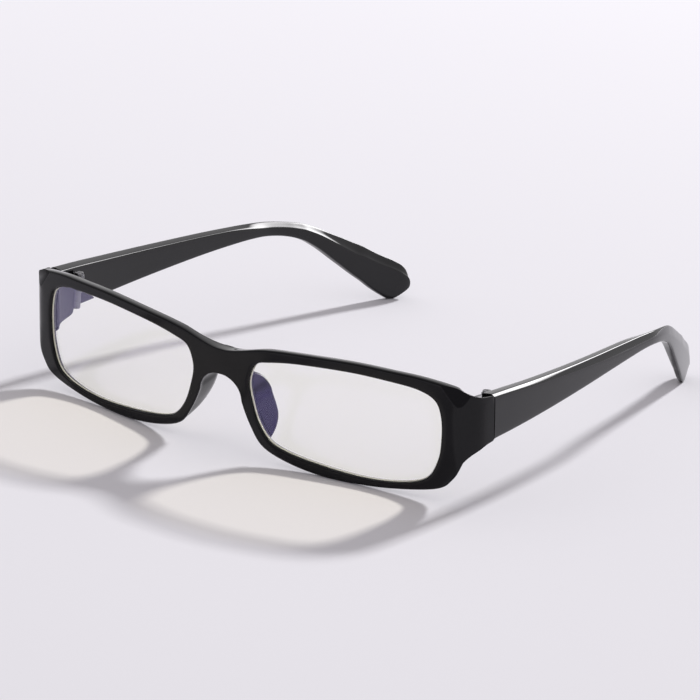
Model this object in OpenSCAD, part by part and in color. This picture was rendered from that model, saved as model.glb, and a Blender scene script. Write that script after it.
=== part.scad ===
// Glasses with a full rim, moulded in one front with wrapped endpieces, and two folding temples.
// Millimetres. Z is up, the front faces -Y, the temples run to +Y, and the wearer's left is +X.
// The origin is under the middle of the glasses, on the surface they stand on.

/* [Lenses] */
// Width of each lens opening
lens_w = 50.5; // [46:0.5:54]
// Height of each lens opening
lens_h = 27; // [24:0.5:32]
// How far the lenses' middle lies below the front's middle line
lens_drop = 0.7; // [0:0.1:1.5]
// Distance between the two lens openings
bridge_w = 16.8; // [15:0.2:20]
// Thickness of a lens
lens_t = 1.4; // [1.2:0.1:1.8]
// How far a lens bulges forward in its middle
lens_bulge = 0.5; // [0.2:0.1:1]
// Depth of the lens groove in the rim
groove_depth = 0.8; // [0.5:0.1:1]
// Clearance between a lens and its groove
lens_fit = 0.08; // [0.05:0.01:0.12]

/* [Rims] */
// Width of the rim above the lens
rim_top = 2.7; // [2:0.1:4]
// Width of the rim below the lens
rim_bottom = 2.1; // [1.8:0.1:4]
// Width of the rim at the outer side of the lens
rim_outer = 3.9; // [3:0.1:5]
// Width of the rim beside the nose
rim_nasal = 3; // [2.4:0.1:4]
// Thickness of the rim from front to back
rim_t = 3; // [2.8:0.1:4]
// Radius of the round on the long edges of the front
edge_r = 0.45; // [0.2:0.05:0.6]
// How far the rear of the outline lies inside the front of it
rear_draft = 0.5; // [0:0.1:0.8]
// Radius of the front's curve across the face
face_r = 196; // [150:2:300]
// Forward lean of the front's top
front_lean = 8.15; // [4:0.25:12]

/* [Bridge and nose pads] */
// Height of the bridge in its middle
bridge_h = 6.5; // [5:0.1:8]
// Thickness of the bridge in its middle
bridge_t = 4.2; // [3.8:0.1:6]
// How far the bridge's top lies below the rims' top
bridge_dip = 4.5; // [3:0.1:6]
// How far the bridge's top falls from front to rear
bridge_fall = 0.6; // [0:0.1:1]
// How far the nose pads stand back from the front face
pad_depth = 9.2; // [6:0.2:11]
// How far the pads spread apart from root to rear edge
pad_spread = 2.3; // [0:0.1:3]
// Thickness of a nose pad
pad_t = 1.9; // [1.5:0.1:2.2]

/* [Endpieces] */
// Distance from the lens opening out to the first crease
crease_x = 4.3; // [3:0.1:5]
// How far the outline's top has fallen at the first crease
crease_drop = 2.8; // [2:0.1:4]
// How far the corner's flat cut reaches in over the face from the first crease
facet_in = 4.6; // [3:0.1:6]
// How far it reaches out past the crease
facet_out = 2.8; // [1.5:0.1:3.5]
// How far it reaches down the crease from the rims' top
facet_h = 7.9; // [6:0.1:9]
// Depth of the cut at its outer corner
facet_depth = 0.3; // [0:0.05:0.6]
// Radius of the two creases between face, corner panel and side panel
crease_r = 2.5; // [2:0.5:4]
// Direction of the corner panel in plan, from straight across
corner_angle = 51; // [44:1:58]
// Direction of the side panel in plan, from straight across
side_angle = 84; // [78:1:88]
// Length of the corner panel from crease to crease
corner_len = 5.5; // [5:0.1:7]
// Length of the side panel from its crease to the joint
side_len = 5.1; // [4.5:0.1:7]
// Height of the joint
joint_h = 12; // [11.4:0.1:14]
// How far the joint's top lies below the rims' top
joint_dip = 6.2; // [5:0.1:8]
// How far the endpiece's top falls inwards at the joint
end_fall = 2.4; // [1:0.1:2.5]
// Thickness of the endpiece at the joint
end_t = 6.8; // [6.4:0.1:7.4]
// Gap between the endpiece and the temple
joint_gap = 0.15; // [0.1:0.05:0.4]

/* [Temples] */
// Length of a temple from the joint to its tip, measured straight back
temple_len = 130.6; // [115:1:145]
// Thickness of a temple at the joint
temple_t = 4; // [3.8:0.1:4.4]
// Thickness of a temple at its tip
tip_t = 2.6; // [2.4:0.1:4]
// Height of a temple at its waist
waist_h = 3.6; // [3:0.1:6]
// Height of the paddle tip
tip_h = 11.1; // [7:0.1:11.5]
// Height of the tip's very end, above the corner that it stands on
tip_lift = 3.4; // [2:0.1:4.5]
// How far a temple bows in from the joint to its waist
bow_in = 6; // [0:0.5:9]
// How far the tip turns in beyond that bow
tip_in = 8.5; // [0:0.5:14]
// Height of the slope along a temple's outer top edge at the tip
ridge_h = 2.2; // [1:0.1:3]

/* [Hinges] */
// Radius of the hinge knuckles
knuckle_r = 1.4; // [1.2:0.05:1.45]
// Height of one knuckle
knuckle_h = 1.7; // [1.4:0.1:1.8]
// Gap between two knuckles
knuckle_gap = 0.06; // [0.04:0.01:0.1]
// Radius of the hinge screw's shank
pin_r = 0.65; // [0.5:0.05:0.7]
// Clearance of the shank in its knuckles
pin_fit = 0.04; // [0.02:0.01:0.06]
// Radius of the hinge screw's head
pin_head_r = 1.15; // [1:0.05:1.3]
// Thickness of the hinge leaves inside the plastic
leaf_t = 0.9; // [0.7:0.05:1]
// Length of a hinge leaf inside the plastic
leaf_len = 6; // [4:0.1:7]
// How far the hinge screw stands behind the middle of the joint
hinge_back = 4.4; // [3.8:0.1:5]

/* [Hidden] */
$fn = 48;

black = "#17171a";
glass = [0.86, 0.88, 0.95, 0.35];
steel = "#9fa1a6";

// The lens opening inside its box, from the nose side of the top clockwise, -1 to 1 each way
OPENING = [
    [-0.925, 0.741], [-0.754, 0.852], [-0.426, 0.948], [0.10, 1.0], [0.529, 0.956],
    [0.786, 0.881], [0.941, 0.711], [0.996, 0.385], [1.0, -0.022], [0.976, -0.393],
    [0.893, -0.748], [0.747, -0.911], [0.489, -0.993], [0.172, -1.0], [-0.224, -0.933],
    [-0.56, -0.837], [-0.758, -0.704], [-0.889, -0.407], [-0.964, -0.022], [-1.0, 0.378]
];
// The rim's outer outline inside its own box, one point for each of the opening's;
// the bridge and the endpiece take the place of points 0, 6, 7, 8 and 19
OUTLINE = [
    [0, 0], [-0.759, 0.889], [-0.412, 0.957], [0.087, 1.0], [0.475, 0.975],
    [0.732, 0.935], [0, 0], [0, 0], [0, 0], [1.062, -0.365],
    [0.969, -0.66], [0.842, -0.846], [0.475, -0.962], [0.149, -0.997], [-0.2, -0.981],
    [-0.519, -0.885], [-0.756, -0.718], [-0.88, -0.417], [-0.975, -0.032], [0, 0]
];
KEYS = len(OPENING);
STEPS = 3;
STATIONS = KEYS * STEPS;
// Points across the face between its two rounded edges
ACROSS = 6;

// The lens box in the front's own plane: x across, v up, from the middle of the front
lens_cx = bridge_w / 2 + lens_w / 2;
lens_cv = -lens_drop;
top_v = lens_cv + lens_h / 2 + rim_top;
bridge_top = top_v - bridge_dip;
bridge_low = bridge_top - bridge_h;
joint_top = top_v - joint_dip;
joint_low = joint_top - joint_h;

// The plan curve: a shallow arc across the face, then a corner panel and a side panel, each
// reached through a rounded crease. Each leg has a length and an angle that it turns through.
face_x = lens_cx + lens_w / 2 + crease_x;
face_turn = asin(face_x / face_r);
crease_1 = corner_angle - face_turn;
crease_2 = side_angle - corner_angle;
crease_len_1 = crease_r * crease_1 * PI / 180;
crease_len_2 = crease_r * crease_2 * PI / 180;
LEGS = [
    [crease_len_1, crease_1],
    [corner_len - (crease_len_1 + crease_len_2) / 2, 0],
    [crease_len_2, crease_2],
    [side_len - crease_len_2 / 2, 0]
];
face_w = face_x - crease_len_1 / 2;

function smooth(t) = let (c = min(1, max(0, t))) c * c * (3 - 2 * c);
function lerp(a, b, t) = a + (b - a) * t;
function wrap(i, n) = (i + n) % n;

// Smooth curve from b to c, which a and d lead into and out of
function curve(a, b, c, d, t) =
    b + 0.5 * t * (c - a + t * (2 * a - 5 * b + 4 * c - d + t * (3 * (b - c) + d - a)));

// Place and heading after each leg: [w, x, y, heading]
function along(leg, from, w) =
    let (
        h = from[3],
        turn = leg[1] * w / leg[0],
        r = turn == 0 ? 0 : w / (turn * PI / 180),
        step = turn == 0 ? w * [cos(h), sin(h)] : r * [sin(h + turn) - sin(h), cos(h) - cos(h + turn)]
    )
    [from[0] + w, from[1] + step.x, from[2] + step.y, h + turn];
START = let (h = asin(face_w / face_r)) [face_w, face_w, face_r * (1 - cos(h)), h];
STOP_1 = along([LEGS[0][0], corner_angle - START[3]], START, LEGS[0][0]);
STOP_2 = along(LEGS[1], STOP_1, LEGS[1][0]);
STOP_3 = along(LEGS[2], STOP_2, LEGS[2][0]);
STOP_4 = along(LEGS[3], STOP_3, LEGS[3][0]);
joint_w = STOP_4[0];
side_x = STOP_4[1];
joint_back = STOP_4[2];
corner_w = STOP_2[0] + crease_len_2 / 2;

function plan(w) =
    let (
        p = w < face_w ? [w, w, face_r * (1 - cos(asin(w / face_r))), 0]
        : w < STOP_1[0] ? along([LEGS[0][0], corner_angle - START[3]], START, w - START[0])
        : w < STOP_2[0] ? along(LEGS[1], STOP_1, w - STOP_1[0])
        : w < STOP_3[0] ? along(LEGS[2], STOP_2, w - STOP_2[0])
        : along(LEGS[3], STOP_3, w - STOP_3[0])
    )
    [p[1], p[2]];
// Direction of the thickness: square to the face, turning inwards to be square to the side
function heading(w) =
    w < face_w ? asin(w / face_r)
    : lerp(START[3], 90, min(1, (w - face_w) / (corner_w - face_w)));

// A point of the flat front, w along it, v up and d behind its face, set on the leaning front
function lean(x, v, y) = [
    x,
    y * cos(front_lean) - v * sin(front_lean),
    v * cos(front_lean) + y * sin(front_lean)
];
function bent(w, v, d) =
    let (h = heading(w), p = plan(w) + d * [-sin(h), cos(h)])
    lean(p.x, v, p.y);

// Opening, its outward direction, and the outer outline, at station i
function opening_key(k) =
    let (p = OPENING[wrap(k, KEYS)])
    [lens_cx + p.x * lens_w / 2, lens_cv + p.y * lens_h / 2];
function opening(i) =
    let (k = floor(i / STEPS), t = i / STEPS - k)
    curve(opening_key(k - 1), opening_key(k), opening_key(k + 1), opening_key(k + 2), t);
function opening_out(i) =
    let (d = opening(wrap(i + 1, STATIONS)) - opening(wrap(i - 1, STATIONS)))
    [-d.y, d.x] / norm(d);
function outline_key(k) =
    let (p = OUTLINE[k])
    k == 0 ? [0, bridge_top]
    : k == 6 ? [face_x, top_v - crease_drop]
    : k == 7 ? [joint_w, joint_top]
    : k == 8 ? [joint_w, joint_low]
    : k == KEYS - 1 ? [0, bridge_low]
    : [lens_cx + p.x * (lens_w / 2 + (p.x < 0 ? rim_nasal : rim_outer)),
       lens_cv + p.y * (lens_h / 2 + (p.y < 0 ? rim_bottom : rim_top))];
// Height of the endpiece's top between the first crease and the joint
function endpiece_top(w) =
    lerp(joint_top, top_v - crease_drop, pow((joint_w - w) / (joint_w - face_x), 2.6));
// Along a straight end the inner stations lie just inside its two corners
function end_span(a, b, t, first, second) = lerp(a, b, t == 0 ? 0 : t < 0.5 ? first : second);
function outline(i) =
    let (k = floor(i / STEPS), t = i / STEPS - k, b = outline_key(k),
         c = outline_key(wrap(k + 1, KEYS)))
    k == 0 ? curve([-c.x, c.y], b, c, outline_key(2), t)
    : k == 6 ? let (x = lerp(b.x, c.x, 0.87 * t)) [x, endpiece_top(x)]
    : k == 7 ? end_span(b, c, t, 0.22, 0.95)
    : k == 8 ? let (x = lerp(b.x, c.x, t)) [x, b.y + (c.y - b.y) * pow((b.x - x) / (b.x - c.x), 2.2)]
    : k == 9 ? curve(b + [2, 3], b, c, outline_key(11), t)
    : k == KEYS - 3 ? curve(outline_key(k - 1), b, c, c + [-1, 5], t)
    : k == KEYS - 2 ? [b.x * cos(90 * t), b.y + (c.y - b.y) * sin(90 * t)]
    : k == KEYS - 1 ? end_span(b, c, t, 0.05, 0.84)
    : curve(outline_key(k - 1), b, c, outline_key(k + 2), t);

// Whether a station ends on the middle plane, or inside the joint's face
function on_middle(i) = i == 0 || i >= (KEYS - 1) * STEPS;
function flat_end(i) = i > (KEYS - 1) * STEPS || (i > 7 * STEPS && i < 8 * STEPS);
// Behind the joint's face a tongue runs on inside the temple, as far as the hinge's knuckles
function tongue(i) = i >= 7 * STEPS && i <= 8 * STEPS ? hinge_back - knuckle_r - 0.15 : 0;

// Thickness of the front: more at the bridge and towards the joint
function thickness(w) =
    w < face_w
    ? lerp(bridge_t, rim_t, smooth(w / (bridge_w / 2 + 1)))
    : lerp(rim_t, end_t, smooth((w - face_w) / (corner_w - face_w)));

// How far the nose pad has grown at a station: none at its lower end and beside the bridge
pad_first = (KEYS - 4) * STEPS;
PAD_RISE = [0, 0.62, 0.86, 0.97, 1, 0.99, 0.92, 0.7, 0.14, 0];
function pad_rise(i) =
    i < pad_first || i >= pad_first + len(PAD_RISE) ? 0 : PAD_RISE[i - pad_first];

// The tongue's rear end stands upright though the front leans
function tongue_end(back, v) =
    back > 0 ? back + (v - (joint_top + joint_low) / 2) * tan(front_lean) : 0;

// How far the rear of the top edge lies below its front, at the bridge and at the endpiece
function top_fall(i) =
    i > 6 * STEPS && i <= 7 * STEPS ? end_fall * (i / STEPS - 6)
    : i < STEPS ? bridge_fall * (1 - i / STEPS) : 0;

// Cross-section of the front at station i, as points set on the leaning front: its front side,
// its rear side with the nose pad, and the lens groove
groove_v = 0.7;
groove_at = rim_t / 2;
function section(i) =
    let (
        a = opening(i), b = outline(i), n = opening_out(i), w = norm(b - a), u = (b - a) / w,
        r = edge_r, o = flat_end(i) ? 0 : 1, draft = on_middle(i) ? 0 : rear_draft * o,
        back = tongue(i),
        inner = [[0, r], [0.3 * r, 0.3 * r], [r, 0]],
        middle = [for (j = [1 : ACROSS]) [lerp(r, w - r, j / (ACROSS + 1)), 0]],
        outer = [[w - r, 0], [w - 0.3 * r, 0.3 * r * o], [w, r * o]],
        side = concat(inner, middle, outer),
        last = len(side) - 1,
        lap = back > 0 ? temple_t + 0.5 : thickness(b.x) / 2,
        rise = pad_rise(i), t = rim_t, deep = pad_depth, round = pad_t / 2,
        lean_out = pad_spread * (deep - round - t) / (deep - t),
        pad = [
            [w - lean_out, deep - round], [w - pad_spread - 0.15 * pad_t, deep - 0.3 * round],
            [w - pad_spread - 0.5 * pad_t, deep], [w - pad_spread - 0.85 * pad_t, deep - 0.3 * round],
            [w - lean_out - pad_t, deep - round], [w - 0.5 * pad_spread - pad_t, lerp(t, deep, 0.45)],
            [w - 0.15 * pad_spread - pad_t, t + 0.3]
        ]
    )
    concat(
        [for (p = side) let (q = a + u * p.x) bent(q.x, q.y, p.y)],
        [for (e = [0, 1])
            let (x = w - rise * 0.35 * pad_spread - 0.4 * draft,
                 q = a + u * x - [0, top_fall(i) * lap / thickness(b.x)])
            bent(q.x + e * tongue_end(back, q.y), q.y, lap)],
        [for (j = [last : -1 : 0])
            let (
                p = side[j], k = last - j, x = p.x - draft * pow(p.x / w, 2),
                d = thickness((a + u * x).x) - p.y,
                f = k < len(pad) && rise > 0 ? lerp([x, d], pad[k], rise) : [x, d],
                q = a + u * f.x
                    + [k < 3 ? tongue_end(back, (a + u * f.x).y) : 0, -top_fall(i) * pow(p.x / w, 3)]
            )
            bent(q.x, q.y, f.y)],
        [for (g = [[0, groove_v], [groove_depth, 0], [0, -groove_v]])
            let (q = a + n * g.x) bent(q.x, q.y, groove_at + g.y)]
    );
SIDE = ACROSS + 6;
AROUND = 2 * SIDE + 5;

half_front = [for (i = [0 : STATIONS - 1]) section(i)];
half_points = [for (s = half_front) for (p = s) p];
// The glasses are set down so that the rims stand on z = 0, with the origin under their middle
rest_z = -min([for (p = half_points) p.z]);
front_y = min([for (p = half_points) p.y]);

function joint_y(z) = (joint_back - (z - rest_z) * sin(front_lean)) / cos(front_lean);
joint_top_z = lean(0, joint_top, joint_back).z + rest_z;
joint_low_z = lean(0, joint_low, joint_back).z + rest_z;
joint_mid_z = (joint_top_z + joint_low_z) / 2;
temple_y = joint_y(joint_mid_z);
mid_y = (front_y + temple_y + temple_len) / 2;

// Index of point k of station i, on the left half or the mirrored one; points in the middle plane
// belong to both
function at(half, i, k) =
    let (s = wrap(i, STATIONS), shared = on_middle(s) && k >= SIDE - 1 && k <= SIDE + 2)
    s * AROUND + wrap(k, AROUND) + (half == 1 && !shared ? STATIONS * AROUND : 0);
function open_middle(i, k) =
    on_middle(i) && on_middle(wrap(i + 1, STATIONS)) && k >= SIDE - 1 && k <= SIDE + 1;
function half_faces(half) = [
    for (i = [0 : STATIONS - 1])
        for (k = [0 : AROUND - 1])
            if (!open_middle(i, k))
                let (a = at(half, i, k), b = at(half, i + 1, k),
                     c = at(half, i + 1, k + 1), d = at(half, i, k + 1))
                for (f = [[a, b, c], [a, c, d]])
                    half == 1 ? f : [f[2], f[1], f[0]]
];

module set_down() {
    translate([0, -mid_y, 0]) children();
}

module on_side(left) {
    set_down() mirror([left ? 0 : 1, 0, 0]) children();
}

// Walls between rows of points, closed at both ends
module loft(rows) {
    n = len(rows[0]);
    last = len(rows) - 1;
    polyhedron(
        [for (r = rows) for (p = r) p],
        concat(
            [[for (k = [n - 1 : -1 : 0]) k]],
            [for (i = [0 : last - 1]) for (k = [0 : n - 1])
                let (a = i * n + k, b = i * n + (k + 1) % n, c = b + n, d = a + n)
                for (f = [[a, b, c], [a, c, d]]) f],
            [[for (k = [0 : n - 1]) last * n + k]]
        )
    );
}

module front_shell() {
    translate([0, 0, rest_z])
        polyhedron(
            concat(half_points, [for (p = half_points) [-p.x, p.y, p.z]]),
            concat(half_faces(0), half_faces(1))
        );
}

// Everything on the far side of the plane through three points, as far as size reaches
module beyond(a, b, c, size) {
    n = cross(b - a, c - a) / norm(cross(b - a, c - a));
    translate((a + b + c) / 3)
        rotate([0, acos(n.z), atan2(n.y, n.x)])
            translate([-size, -size, 0]) cube([2 * size, 2 * size, size]);
}

// Flat cut across the top outer corner of the front
module corner_cut() {
    translate([0, 0, rest_z])
        beyond(
            bent(face_x, top_v - facet_h, 0),
            bent(face_x + facet_out, endpiece_top(face_x + facet_out), facet_depth),
            bent(face_x - facet_in, top_v - crease_drop / 2, 0),
            facet_h + 1
        );
}

// Hinge: a vertical screw behind the endpiece's tongue, beside the temple's inner side. Each leaf
// is moulded into its plastic: the front's in the tongue, the temple's inside its outer skin.
hinge_x = side_x - temple_t - knuckle_r - 0.2;
hinge_y = temple_y + hinge_back;
barrel_h = 5 * knuckle_h;
hinge_z = joint_top_z - barrel_h - 1.9;
front_leaf_x = hinge_x - leaf_t / 2;
temple_leaf_x = side_x - temple_t / 2 - 0.4;
link_len = 1.2;

module knuckle(k) {
    translate([hinge_x, hinge_y, hinge_z + k * knuckle_h + knuckle_gap / 2])
        cylinder(r = knuckle_r, h = knuckle_h - knuckle_gap);
}

// A block of the leaf between two corners, over the height of knuckle k or of all of them
module leaf_block(x, y, k) {
    low = k < 0 ? hinge_z : hinge_z + k * knuckle_h + knuckle_gap / 2;
    high = k < 0 ? hinge_z + barrel_h : low + knuckle_h - knuckle_gap;
    translate([x[0], y[0], low]) cube([x[1] - x[0], y[1] - y[0], high - low]);
}

module front_leaf() {
    edge = hinge_y - knuckle_r - 0.6;
    leaf_block([front_leaf_x, front_leaf_x + leaf_t], [edge - leaf_len, edge], -1);
    for (k = [0, 2, 4])
        leaf_block([front_leaf_x, front_leaf_x + leaf_t], [edge, hinge_y], k);
}

module temple_leaf() {
    leaf_block([temple_leaf_x, temple_leaf_x + leaf_t], [hinge_y, hinge_y + leaf_len], -1);
    for (k = [1, 3])
        leaf_block([hinge_x, temple_leaf_x + leaf_t], [hinge_y, hinge_y + link_len], k);
}

module pin_hole() {
    translate([hinge_x, hinge_y, hinge_z - 1]) cylinder(r = pin_r + pin_fit, h = barrel_h + 2);
}

module hinge_screw() {
    head_z = hinge_z + barrel_h - knuckle_gap / 2;
    translate([hinge_x, hinge_y, hinge_z]) cylinder(r = pin_r, h = barrel_h);
    translate([hinge_x, hinge_y, head_z])
        difference() {
            cylinder(r = pin_head_r, h = 0.6);
            translate([-pin_head_r - 1, -0.15, 0.35]) cube([2 * pin_head_r + 2, 0.3, 1]);
        }
}

// Lens: a bevelled edge in the groove, and two bulged faces
LENS_RINGS = [0.8, 0.5, 0.2];
function lens_ring(r, out, side) = [
    for (i = [0 : STATIONS - 1])
        let (c = [lens_cx, lens_cv], q = c + (opening(i) + opening_out(i) * out - c) * r)
        bent(q.x, q.y, groove_at + side * lens_t / 2 - lens_bulge * (1 - r * r))
];
module lens() {
    tip = groove_depth - lens_fit;
    front = [for (r = LENS_RINGS) lens_ring(r, -lens_fit, -1)];
    back = [for (r = [2 : -1 : 0]) lens_ring(LENS_RINGS[r], -lens_fit, 1)];
    translate([0, 0, rest_z])
        loft(concat(
            back,
            [lens_ring(1, -lens_fit, 1)],
            [lens_ring(1, tip, 0)],
            [lens_ring(1, -lens_fit, -1)],
            front
        ));
}

// Temple: sections across its length, u from 0 at the joint to 1 at the tip
WAIST = 0.62;
// Where the tip starts to round off
END = 0.955;
// Where its lower edge reaches the ground and leaves it again
TOE = 0.94;
HEEL = 0.953;
top_keys = [
    [0, 1], [0.15, 0.98], [0.31, 0.964], [0.46, 0.953], [0.57, 0.94], [0.635, 0.92],
    [0.705, 0.876], [0.745, 0.825], [0.806, 0.703], [0.878, 0.554], [0.917, 0.452],
    [0.952, 0.373], [1, 0.254]
];
function key_curve(keys, u) =
    let (
        n = len(keys) - 1,
        k = max([for (i = [0 : n - 1]) if (keys[i].x <= u) i]),
        t = (u - keys[k].x) / (keys[k + 1].x - keys[k].x)
    )
    curve(keys[max(0, k - 1)].y, keys[k].y, keys[k + 1].y, keys[min(n, k + 2)].y, t);
function tip_round(u) = let (t = max(0, (u - END) / (1 - END))) sqrt(max(0, 1 - pow(t, 2.7)));
function temple_ridge(u) = joint_top_z * key_curve(top_keys, u);
function temple_top(u) = lerp(tip_lift, temple_ridge(u), tip_round(u));
function temple_h(u) =
    u < WAIST ? lerp(waist_h, joint_top_z - joint_low_z, pow(1 - u / WAIST, 1.2))
    : lerp(waist_h, tip_h, smooth((u - WAIST - 0.04) / 0.3));
function temple_low(u) =
    u > HEEL ? min(temple_top(u) - 0.4, tip_lift * pow((u - HEEL) / (1 - HEEL), 1.1))
    : u >= TOE ? 0 : max(0, temple_ridge(u) - temple_h(u));
function temple_x(u) =
    side_x - bow_in * pow(u / WAIST, 1.85) - tip_in * pow(max(0, u - WAIST) / (1 - WAIST), 1.9);
function temple_thick(u) = lerp(temple_t, tip_t, u) * (0.4 + 0.6 * tip_round(u));
// The ridge runs near the outer side; from it the top slopes steeply outwards and gently inwards
function temple_section(u) =
    let (
        x = temple_x(u), t = temple_thick(u), top = temple_top(u), low = temple_low(u),
        h = top - low, r = min(0.6, h / 4), s = lerp(0.8, ridge_h, smooth(u / 0.6)),
        d = min(s, h * 0.45), c = t * 0.26, e = min(0.25, h / 8),
        fall = min(h * 0.45, 0.55 * (t - c) * smooth(0.25 + u / 0.08)),
        flush = pow(max(0, 1 - u / 0.06), 2)
    )
    [for (p = [
        [x - r, low], [x - 0.3 * r, low + 0.3 * r], [x, low + r],
        [x, top - d - e], [x - 0.12 * c, top - d + e], [x - c * 0.85, top - 0.5 * e], [x - c * 1.15, top],
        [x - c * 1.6, top - 0.12 * fall], [x - t + 0.6, top - 0.86 * fall],
        [x - t + 0.15, top - fall - 0.5 * e], [x - t, top - fall - 2 * e],
        [x - t, low + r], [x - t + 0.3 * r, low + 0.3 * r], [x - t + r, low]
    ])
        [p.x, lerp(temple_y + temple_len * u, joint_y(p.y), flush) + joint_gap * (1 - u), p.y]];
temple_stops = concat(
    [0, 0.012, 0.03, 0.06],
    [for (k = [1 : 20]) lerp(0.06, 0.72, k / 20)],
    [for (k = [1 : 10]) lerp(0.72, TOE, k / 10)],
    [HEEL],
    [for (t = [15 : 15 : 75]) lerp(END, 1, sin(t))],
    [0.9995]
);

module temple_blank() {
    loft([for (u = temple_stops) temple_section(u)]);
}

module front_frame() {
    color(black) set_down() difference() {
        front_shell();
        for (m = [0, 1])
            mirror([m, 0, 0]) {
                corner_cut();
                front_leaf();
            }
    }
}
module lens_left() { color(glass) on_side(true) lens(); }
module lens_right() { color(glass) on_side(false) lens(); }
module temple(left) {
    color(black) on_side(left) difference() {
        temple_blank();
        temple_leaf();
    }
}
module temple_left() { temple(true); }
module temple_right() { temple(false); }
module front_hinge(left) {
    color(steel) on_side(left) difference() {
        union() {
            front_leaf();
            for (k = [0, 2, 4]) knuckle(k);
        }
        pin_hole();
    }
}
module temple_hinge(left) {
    color(steel) on_side(left) difference() {
        union() {
            temple_leaf();
            for (k = [1, 3]) knuckle(k);
        }
        pin_hole();
    }
}
module pivot_screw(left) { color(steel) on_side(left) hinge_screw(); }

front_frame();
lens_left();
lens_right();
temple_left();
temple_right();
front_hinge(true);  // front_hinge_left
front_hinge(false);  // front_hinge_right
temple_hinge(true);  // temple_hinge_left
temple_hinge(false);  // temple_hinge_right
pivot_screw(true);  // hinge_screw_left
pivot_screw(false);  // hinge_screw_right
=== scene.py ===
import math

import bmesh
import bpy
import numpy as np
from mathutils import Matrix, Vector


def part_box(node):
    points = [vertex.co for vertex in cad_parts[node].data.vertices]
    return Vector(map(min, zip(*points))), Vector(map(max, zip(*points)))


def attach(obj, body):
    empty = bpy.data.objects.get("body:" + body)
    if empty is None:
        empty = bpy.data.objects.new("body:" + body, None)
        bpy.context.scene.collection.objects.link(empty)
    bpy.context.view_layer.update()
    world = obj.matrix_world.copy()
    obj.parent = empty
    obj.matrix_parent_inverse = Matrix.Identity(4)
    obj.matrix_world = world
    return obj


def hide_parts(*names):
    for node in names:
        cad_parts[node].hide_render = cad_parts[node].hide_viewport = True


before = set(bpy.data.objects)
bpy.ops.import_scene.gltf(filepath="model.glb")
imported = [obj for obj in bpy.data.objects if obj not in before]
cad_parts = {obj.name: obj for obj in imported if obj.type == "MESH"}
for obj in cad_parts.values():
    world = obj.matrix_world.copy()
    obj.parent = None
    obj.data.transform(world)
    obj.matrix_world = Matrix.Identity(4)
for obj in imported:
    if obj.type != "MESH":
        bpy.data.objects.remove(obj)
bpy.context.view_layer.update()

MM = 0.001
TINY = 1e-6  # metres: points closer than this are one point

# Sizes are in millimetres and degrees. Most are the solids' own, so that each smooth piece lies
# where its solid does. A station is a place along the outlines: 0 is the bridge's top in the middle,
# and each whole number is the next key of both outlines.

# Lenses
LENS_W = 50.5  # width of each lens opening
LENS_H = 27.0  # height of each lens opening
LENS_DROP = 0.7  # how far the lenses' middle lies below the front's middle line
LENS_T = 1.4  # thickness of a lens
LENS_BULGE = 0.5  # how far a lens bulges forward in its middle
LENS_FIT = 0.08  # clearance between a lens and its groove
LENS_BORDER = 0.35  # polished margin just inside the bevel
LENS_RINGS = (0.96, 0.9, 0.8, 0.65, 0.5, 0.35, 0.2, 0.08)  # rings of a face, as shares of its outline
GROOVE_DEPTH = 0.8  # depth of the lens groove in the rim
GROOVE_HALF_W = 0.7  # half the groove's width at its mouth

# Rims
RIM_TOP = 2.7  # width of the rim above the lens
RIM_BOTTOM = 2.1  # width of the rim below the lens
RIM_OUTER = 3.9  # width of the rim at the outer side of the lens
RIM_NASAL = 3.0  # width of the rim beside the nose
RIM_T = 3.0  # thickness of the rim from front to back
EDGE_R = 0.45  # radius of the round on the front's long edges
REAR_DRAFT = 0.5  # how far the rear of the outline lies inside the front of it
DRAFT_MID = 0.4  # share of the draft that is reached in the middle of the thickness
FACE_R = 196.0  # radius of the front's curve across the face
FRONT_LEAN = 8.15  # forward lean of the front's top

# Bridge and nose pads
BRIDGE_W = 16.8  # distance between the two lens openings
BRIDGE_H = 6.5  # height of the bridge in its middle
BRIDGE_T = 4.2  # thickness of the bridge in its middle
BRIDGE_DIP = 4.5  # how far the bridge's top lies below the rims' top
BRIDGE_FALL = 0.6  # how far the bridge's top falls from front to rear
BRIDGE_BLEND = 1.0  # how far past the lens opening the bridge's thickness fades out
BRIDGE_LEAD = (-1, 5)  # way, across and up, that the outline beside the nose takes into the bridge's arch
MIDDLE_W = 1.0  # half the straight part in the middle of the bridge
PAD_DEPTH = 10.2  # how far the nose pads reach back from the front face
PAD_SPREAD = 1.8  # how far each pad spreads sideways from its root to its rear edge
PAD_T = 1.9  # thickness of a nose pad
PAD_ROOT = 0.3  # how far behind the rim a pad's root ends on the lens side
PAD_RISE = (0, 0.5, 0.78, 0.92, 0.98, 1, 1, 1, 0.86, 0)  # how far a pad has grown, each third of a key

# Endpieces
CREASE_X = 4.3  # distance from the lens opening out to the first crease
CREASE_DROP = 2.8  # how far the top has fallen at the first crease
CREASE_R = 2.5  # radius of both creases
CORNER_ANGLE = 51.0  # heading of the part between the creases
CORNER_LEN = 5.5  # length of the part between the creases
SIDE_ANGLE = 84.0  # heading of the part behind the second crease
SIDE_LEN = 5.1  # length of the part behind the second crease
END_T = 6.8  # thickness of the endpiece from the second crease on
END_FALL = 2.4  # how far the endpiece's top falls from its outer to its inner side
TOP_CURVE = 1.7  # how hollow the endpiece's top edge is, where 1 is straight
LOW_CURVE = 2.2  # the same for its lower edge
LOW_LEAD = (2, 3)  # place, across and up, that the rim's outline comes from below the endpiece
FACET_IN = 5.0  # how far the corner's flat cut reaches inwards from the first crease
FACET_OUT = 2.4  # how far it reaches outwards
FACET_H = 7.9  # how far it reaches down from the level of the rims' top
FACET_DEPTH = 0.3  # its depth at the outer corner
FACET_REACH = 9.0  # it cuts only what lies within this distance of its middle

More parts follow.
